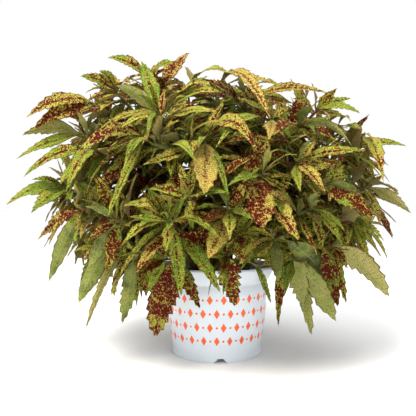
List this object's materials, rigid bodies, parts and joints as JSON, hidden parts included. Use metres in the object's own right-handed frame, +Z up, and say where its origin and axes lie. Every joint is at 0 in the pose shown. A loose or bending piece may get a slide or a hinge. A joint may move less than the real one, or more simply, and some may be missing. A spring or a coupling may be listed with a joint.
{
  "type": "potted coleus",
  "caption": "Coleus houseplant with speckled, toothed leaves on branching stems, rooted in the soil of a round tapered nursery pot that stands on a flat surface.",
  "frame": {"origin": "centre of the pot's underside, on the surface that it stands on", "axes": "+Z up, +X to the right seen from the front, -Y towards the viewer in front"},
  "size_m": [0.5207, 0.4854, 0.4162],
  "materials": {
    "pot": "satin, injection moulded, with a printed pattern",
    "soil": "moist crumbly potting mix",
    "foliage": "living leaf and stem, soft sheen"
  },
  "bodies": {
    "root": {"pot": "pot", "soil": "soil", "leafy_stem_01": "foliage", "leafy_stem_02": "foliage", "leafy_stem_03": "foliage", "leafy_stem_04": "foliage", "leafy_stem_05": "foliage", "leafy_stem_06": "foliage", "leafy_stem_07": "foliage", "leafy_stem_08": "foliage", "leafy_stem_09": "foliage", "leafy_stem_10": "foliage", "leafy_stem_11": "foliage", "leafy_stem_12": "foliage", "leafy_stem_13": "foliage", "leafy_stem_14": "foliage", "leafy_stem_15": "foliage", "leafy_stem_16": "foliage", "leafy_stem_17": "foliage", "leafy_stem_18": "foliage", "leafy_stem_19": "foliage", "leafy_stem_20": "foliage", "leafy_stem_21": "foliage", "leafy_stem_22": "foliage", "leafy_stem_23": "foliage"}
  },
  "joints": []
}
